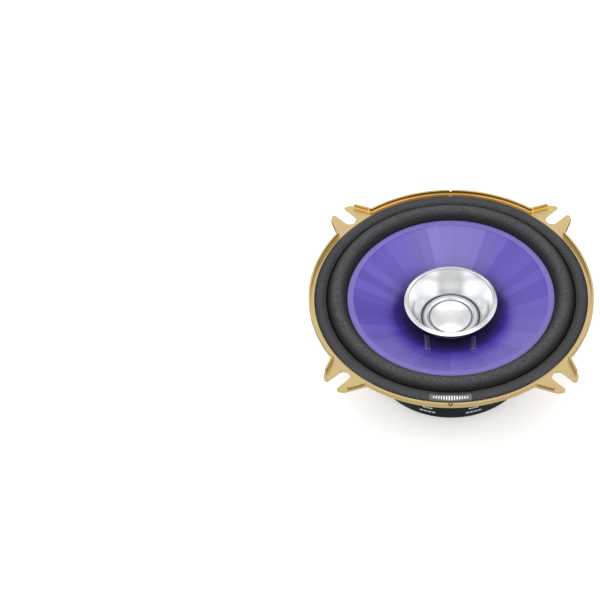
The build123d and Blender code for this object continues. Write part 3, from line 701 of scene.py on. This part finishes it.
def build_cap():
    """The stepped chrome cap with its dome and pip."""
    thick, dome_steps, dome_end = 0.25, 30, 0.93
    steps = rounded(
        [(FORMER_R - 0.05, CAP_BASE + thick), (12.7, CAP_BASE + thick), (12.2, CAP_BASE + 0.8),
         (11.0, CAP_BASE + 0.8), (10.4, CAP_BASE), (DOME_R + 0.45, CAP_BASE),
         (DOME_R, CAP_BASE + thick)],
        0.35, steps=6,
    )
    rise = CAP_TOP - 0.35 - CAP_BASE - thick
    dome_radius = (DOME_R**2 + rise**2) / (2 * rise)
    dome = []
    for step in range(1, dome_steps + 1):
        r = DOME_R * (1 - step / dome_steps * dome_end)
        dome.append((r, CAP_BASE + thick + rise - dome_radius + math.sqrt(dome_radius**2 - r**2)))
    pip_z = dome[-1][1]
    pip = [(0.5, pip_z), (0.42, pip_z + 0.14), (0.25, pip_z + 0.26), (0, CAP_TOP)]
    under = [(0, CAP_TOP - 0.7)] + [(r, z - thick) for r, z in reversed(dome)] + [
        (DOME_R + 0.1, CAP_BASE - 0.05), (DOME_R + 0.4, CAP_BASE - 0.24), (10.5, CAP_BASE - 0.24),
        (11.1, CAP_BASE + 0.55), (12.05, CAP_BASE + 0.55), (12.5, CAP_BASE + 0.02),
        (FORMER_R - 0.05, CAP_BASE + 0.01),
    ]
    obj = lathe("centre_cap_chrome", steps + dome + pip + under, steps=288, sharp_deg=40)
    return finish_piece(obj, CHROME, "cone_assembly", ("centre_cap",))


def bead_mesh(side, lean):
    """One bead of glue that hugs the cone, from under the bowl to a round end over the eyelet."""
    inner_y, outer_y, end_from = -13.0, -25.5, 0.88
    along, across = 40, 16
    verts = []
    for i in range(along + 1):
        t = i / along
        y = inner_y + (outer_y - inner_y) * t
        into_end = max(0.0, (t - end_from) / (1 - end_from))
        closing = math.sqrt(max(0.0, 1 - into_end**2))
        width = (1.25 + 0.25 * t) * closing + 0.01
        tall = (0.75 + 0.35 * t) * closing + 0.005
        wave = 0.07 * math.sin(9 * t + side)
        centre_x = side * BEAD_X + lean * (1 - t) + wave
        for j in range(across + 1):
            angle = math.pi * j / across
            x = centre_x + width * math.cos(angle)
            lift = -0.06 if j in (0, across) else tall * math.sin(angle) ** 0.8
            verts.append((x, y, cone_front(math.hypot(x, y)) + lift))
    faces = []
    row = across + 1
    for i in range(along):
        for j in range(across):
            a = i * row + j
            faces.append((a, a + row, a + row + 1, a + 1))
        faces.append((i * row + across, (i + 1) * row + across, (i + 1) * row, i * row))
    faces.append(tuple(range(row)))
    faces.append(tuple(reversed(range(along * row, along * row + row))))
    return verts, faces


def build_beads():
    """The two beads. The left one starts further out under the bowl, as in the photograph."""
    verts, faces = join([bead_mesh(-1, -0.6), bead_mesh(1, 0.1)])
    obj = new_mesh("glue_beads", verts, faces, sharp_deg=60)
    return finish_piece(obj, GLUE, "cone_assembly", ("lead_beads",))


# ---------------------------------------------------------------- leads and terminals
def lead_route(side):
    """The lead's route from its eyelet to its rivet, in millimetres."""
    radius = math.hypot(BEAD_X, EYELET_Y)
    front = Vector((side * BEAD_X, EYELET_Y, cone_front(radius)))
    inward = Vector((-front.x / radius, -front.y / radius, 0))
    normal = (inward * CONE_SLOPE + Vector((0, 0, 1))) / math.hypot(1, CONE_SLOPE)
    return [
        front - normal * (CONE_THICKNESS + 0.36),
        front - normal * (CONE_THICKNESS + 0.3 + 2.5),
        Vector((side * 10.8, -27.2, -13.2)),
        Vector((side * 9.9, -31.8, -13.7)),
        Vector((side * 8.3, -36.7, -13.1)),
        Vector((side * TERMINAL_X, BOARD_FRONT_Y + 0.52, TERMINAL_Z)),
    ]


def smooth_route(route):
    """Points along the NURBS line that has the route as its control points."""
    curve = bpy.data.curves.new("route", "CURVE")
    curve.dimensions = "3D"
    curve.resolution_u = 16
    spline = curve.splines.new("NURBS")
    spline.points.add(len(route) - 1)
    for point, place in zip(spline.points, route):
        point.co = (*place, 1)
    spline.order_u = 3
    spline.use_endpoint_u = True
    holder = bpy.data.objects.new("route", curve)
    bpy.context.scene.collection.objects.link(holder)
    bpy.context.view_layer.update()
    mesh = bpy.data.meshes.new_from_object(holder)
    points = [v.co.copy() for v in mesh.vertices]
    bpy.data.objects.remove(holder)
    bpy.data.curves.remove(curve)
    bpy.data.meshes.remove(mesh)
    return points


def braid(points, strands=5, radius=0.42, strand_r=0.13, core_r=0.3, pitch=4.5):
    """Strands that wind both ways round the line, each over and under the others, on a core."""
    lengths = [0.0]
    for a, b in zip(points, points[1:]):
        lengths.append(lengths[-1] + (b - a).length)
    parts = [tube(points, core_r, 8)]
    normals = []
    normal = Vector((1, 0, 0))
    for index in range(len(points)):
        tangent = (points[min(index + 1, len(points) - 1)] - points[max(index - 1, 0)]).normalized()
        normal = (normal - tangent * normal.dot(tangent)).normalized()
        normals.append((normal.copy(), tangent.cross(normal)))
    for way in (1, -1):
        for strand in range(strands):
            line = []
            for point, length, (n, s) in zip(points, lengths, normals):
                turn = 2 * math.pi * length / pitch
                angle = way * turn + 2 * math.pi * strand / strands
                over = radius + way * 0.06 * math.sin(2 * strands * turn)
                line.append(point + (n * math.cos(angle) + s * math.sin(angle)) * over)
            parts.append(tube(line, strand_r, 5))
    return join(parts)


def build_lead(side, node):
    """A braided lead from the cone to the basket, along a curved route."""
    route = lead_route(side)
    verts, faces = braid(smooth_route(route))
    obj = new_mesh(node.replace("tinsel_lead", "braided_lead"), verts, faces, sharp_deg=180)
    finish_piece(obj, COPPER, replaces=(node,))
    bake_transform(obj)
    return obj


def build_solder():
    """A dome of solder where each lead meets its rivet."""
    rings, steps = 8, 20
    parts = []
    for side in (1, -1):
        verts, faces = [], []
        for i in range(rings):
            t = i / (rings - 1)
            reach = 1.25 * math.cos(t * math.pi / 2) + 0.02
            y = BOARD_FRONT_Y + 0.35 + 1.1 * math.sin(t * math.pi / 2)
            for j in range(steps):
                angle = 2 * math.pi * j / steps
                x = side * TERMINAL_X + reach * math.cos(angle)
                verts.append((x, y, TERMINAL_Z + reach * math.sin(angle)))
        for i in range(rings - 1):
            for j in range(steps):
                a, b = i * steps + j, i * steps + (j + 1) % steps
                faces.append((a, a + steps, b + steps, b))
        faces.append(tuple(range(steps)))
        faces.append(tuple(reversed(range((rings - 1) * steps, rings * steps))))
        parts.append((verts, faces))
    verts, faces = join(parts)
    return finish_piece(new_mesh("solder_domes", verts, faces, 60), TINNED, "frame")


# ---------------------------------------------------------------- generic prints
def patch(place, columns, rows):
    """A thin closed patch: place(u, v, lift) gives a point for u and v from 0 to 1, and for
    lift 0 at its foot and 1 on its top."""
    verts, faces = [], []
    for lift in (0, 1):
        for i in range(columns + 1):
            for j in range(rows + 1):
                verts.append(place(i / columns, j / rows, lift))
    layer = (columns + 1) * (rows + 1)

    def at(i, j, top):
        return top * layer + i * (rows + 1) + j

    for i in range(columns):
        for j in range(rows):
            faces.append((at(i, j, 1), at(i + 1, j, 1), at(i + 1, j + 1, 1), at(i, j + 1, 1)))
            faces.append((at(i, j, 0), at(i, j + 1, 0), at(i + 1, j + 1, 0), at(i + 1, j, 0)))
    for i in range(columns):
        faces.append((at(i, 0, 0), at(i + 1, 0, 0), at(i + 1, 0, 1), at(i, 0, 1)))
        faces.append((at(i, rows, 0), at(i, rows, 1), at(i + 1, rows, 1), at(i + 1, rows, 0)))
    end = columns
    for j in range(rows):
        faces.append((at(0, j, 0), at(0, j, 1), at(0, j + 1, 1), at(0, j + 1, 0)))
        faces.append((at(end, j, 0), at(end, j + 1, 0), at(end, j + 1, 1), at(end, j, 1)))
    return verts, faces


def badge_patch(x, width, tall, base, thick, columns=2):
    """A thin raised patch on the gasket at the lead side, x along the ring from the middle."""

    def place(u, v, lift):
        angle = -math.pi / 2 + (x + (u - 0.5) * width) / BADGE_R
        r = BADGE_R + (v - 0.5) * tall
        return (r * math.cos(angle), r * math.sin(angle), gasket_height(r) + base + lift * thick)

    return patch(place, columns, 8)


def build_badge():
    """A generic badge on the gasket at the lead side: a grey plate with bars, like a level meter."""
    verts, faces = badge_patch(0, 18.6, 2.7, base=-0.02, thick=0.06, columns=40)
    finish_piece(new_mesh("badge_plate", verts, faces, 60), GREY_INK, "frame")
    pitch, count = 1.14, 14
    bars = []
    for index in range(count):
        from_middle = index - (count - 1) / 2
        tall = 1.9 - 0.17 * abs(from_middle)
        bars.append(badge_patch(from_middle * pitch, 0.55, tall, base=0.03, thick=0.04))
    verts, faces = join(bars)
    return finish_piece(new_mesh("badge_bars", verts, faces, 60), SILVER_INK, "frame")


def magnet_dash(side, x, width, row_z):
    """A thin raised dash on the magnet's side, x to x + width along it from its group's middle."""
    middle, tall = math.radians(-90 + side * 16.5), 0.75

    def place(u, v, lift):
        angle = middle + (x + u * width) / MAGNET_R
        r = MAGNET_R + 0.01 + lift * 0.035
        return (r * math.cos(angle), r * math.sin(angle), row_z + (v - 0.5) * tall)

    return patch(place, 4, 1)


def build_magnet_print():
    """Two groups of plain dashes on the magnet's side, in two rows."""
    gap = 0.35
    parts = []
    for side in (-1, 1):
        for row_z, count, width in ((-36.4, 3, 1.3), (-39.0, 4, 1.6)):
            x = -(count * width + gap * (count - 1)) / 2
            for index in range(count):
                parts.append(magnet_dash(side, x + index * (width + gap), width, row_z))
    verts, faces = join(parts)
    return finish_piece(new_mesh("magnet_dashes", verts, faces, 60), PALE_INK, "frame")


# ---------------------------------------------------------------- CAD nodes that stay
def dress_cad_nodes():
    """Better materials on the CAD nodes that keep their own shape."""
    finishes = {
        "basket_frame": ZINC, "top_plate": PHOSPHATE, "magnet": FERRITE, "back_plate": PHOSPHATE,
        "pole_piece": BRIGHT, "plate_rivets": BRIGHT, "coil_former": ALUMINIUM, "coil_winding": COPPER,
        "coil_leads": COPPER, "lead_eyelets": BRASS, "terminal_board": BOARD, "terminal_rivets": BRASS,
        "terminal_tab_positive": TINNED, "terminal_tab_negative": TINNED,
    }
    for node, material in finishes.items():
        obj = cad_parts[node]
        for slot in obj.material_slots:
            slot.link = "OBJECT"
            slot.material = material


# ---------------------------------------------------------------- stage, in metres
STAGE_R = 4.0
FLOOR_Z = REST_Z * MM - 0.0002


def stage_mesh(name, points, faces, material):
    """A piece of the stage, from points in metres."""
    mesh = bpy.data.meshes.new(name)
    mesh.from_pydata(points, [], faces)
    mesh.materials.append(material)
    obj = bpy.data.objects.new(name, mesh)
    bpy.context.scene.collection.objects.link(obj)
    return obj


def build_floor():
    """A pale floor just under the back plate."""
    paint = new_material(
        "pale_floor", (0.86, 0.86, 0.86), roughness=0.9,
        Emission_Color=(1, 1, 1, 1), Emission_Strength=0.34,
    )
    cloud = ramp(paint, noise(paint, 400), [(0.3, (0.85, 0.85, 0.85)), (0.7, (0.87, 0.87, 0.87))])
    shader_input(paint, "Base Color", cloud)
    around = ((-1, -1), (1, -1), (1, 1), (-1, 1))
    corners = [(x * STAGE_R, y * STAGE_R, FLOOR_Z) for x, y in around]
    floor = stage_mesh("floor", corners, [(0, 1, 2, 3)], paint)
    floor.visible_glossy = False


def build_wall():
    """A glowing white wall and ceiling far out, which only the camera sees."""
    glow = bpy.data.materials.new("pale_wall")
    glow.use_nodes = True
    glow.node_tree.nodes.remove(glow.node_tree.nodes["Principled BSDF"])
    light = add(glow, "ShaderNodeEmission")
    wire(glow, light.outputs["Emission"], glow.node_tree.nodes["Material Output"].inputs["Surface"])
    sides, height = 48, 6.0
    points, faces = [], []
    for step in range(sides):
        angle = 2 * math.pi * step / sides
        for level in (FLOOR_Z - 0.001, height):
            points.append((STAGE_R * math.cos(angle), STAGE_R * math.sin(angle), level))
        low, after = 2 * step, 2 * ((step + 1) % sides)
        faces.append((low, after, after + 1, low + 1))
    faces.append(tuple(range(1, 2 * sides, 2)))
    wall = stage_mesh("wall", points, faces, glow)
    wall.visible_diffuse = wall.visible_glossy = wall.visible_transmission = wall.visible_shadow = False


# The studio, as soft glows on the sky: where each one is, how far its full part and its edge
# reach from there in degrees, and how bright it is.
STUDIO_BASE = 0.13
STUDIO_GLOWS = (
    ((-0.30, -0.15, 1.0), 7, 21, 1.2),
    ((0.0, -0.15, 1.0), 8, 21, 1.7),
    ((0.30, -0.15, 1.0), 7, 21, 1.2),
    ((0.0, 0.66, 0.75), 12, 38, 0.66),
    ((-0.12, 1.0, 0.02), 14, 46, 1.05),
    ((-1.0, -0.10, 0.10), 40, 66, 1.10),
    ((1.0, -0.10, 0.10), 40, 66, 1.10),
    ((-0.42, -0.60, 0.68), 12, 34, 1.00),
    ((0.42, -0.60, 0.68), 12, 34, 1.00),
    ((0.0, -1.0, 0.12), 12, 36, 0.42),
    ((0.0, 0.0, -1.0), 30, 80, 0.26),
    ((0.0, -0.70, -0.72), 20, 50, 0.30),
)


def build_sky():
    """The base and the glows, summed over the direction that is looked in."""
    world = bpy.data.worlds.new("studio")
    world.use_nodes = True
    bpy.context.scene.world = world
    toward = add(world, "ShaderNodeTexCoord").outputs["Generated"]
    total = STUDIO_BASE
    for direction, full_deg, edge_deg, strength in STUDIO_GLOWS:
        dot = add(world, "ShaderNodeVectorMath", operation="DOT_PRODUCT")
        dot.inputs[1].default_value = Vector(direction).normalized()
        wire(world, toward, dot.inputs[0])
        edge, full = (math.cos(math.radians(deg)) for deg in (edge_deg, full_deg))
        glow = spread(world, dot.outputs["Value"], 0.0, strength, edge, full, "SMOOTHERSTEP")
        total = math_node(world, "ADD", glow, total)
    background = world.node_tree.nodes["Background"]
    background.inputs["Color"].default_value = (1, 1, 1, 1)
    wire(world, total, background.inputs["Strength"])


def build_lamp():
    """A round softbox above, which isn't mirrored in anything."""
    key = bpy.data.lights.new("key_softbox", "AREA")
    key.shape = "DISK"
    key.size = 0.35
    key.energy = 3.5
    lamp = bpy.data.objects.new("key_softbox", key)
    lamp.location = (-0.15, -0.05, 1.0)
    lamp.rotation_mode = "QUATERNION"
    lamp.rotation_quaternion = (-lamp.location).to_track_quat("-Z", "Y")
    lamp.visible_camera = lamp.visible_glossy = False
    bpy.context.scene.collection.objects.link(lamp)


def build_camera():
    """The tilted view, from the lead side, turned so that the speaker sits right of the middle."""
    elevation, distance = math.radians(48.88), 1.034
    pan, tilt = math.radians(3.81), math.radians(-0.19)
    target = Vector((0, 0, 3.0 * MM))
    back = Vector((0, -math.cos(elevation), math.sin(elevation)))
    data = bpy.data.cameras.new("camera")
    data.sensor_width = 36
    data.lens = 135.7
    data.clip_start, data.clip_end = 0.01, 20
    camera = bpy.data.objects.new("camera", data)
    camera.location = target + back * distance
    camera.rotation_mode = "QUATERNION"
    look = (-back).to_track_quat("-Z", "Y")
    camera.rotation_quaternion = look @ Quaternion((0, 1, 0), pan) @ Quaternion((1, 0, 0), tilt)
    bpy.context.scene.collection.objects.link(camera)
    bpy.context.scene.camera = camera


build_gasket()
build_surround()
build_spider()
sharpen_facets(build_cone())
build_whizzer()
build_cap()
build_beads()
build_lead(1, "tinsel_lead_positive")
build_lead(-1, "tinsel_lead_negative")
build_solder()
build_badge()
build_magnet_print()
dress_cad_nodes()
build_floor()
build_wall()
build_sky()
build_lamp()
build_camera()
bpy.context.scene.view_settings.view_transform = "Standard"
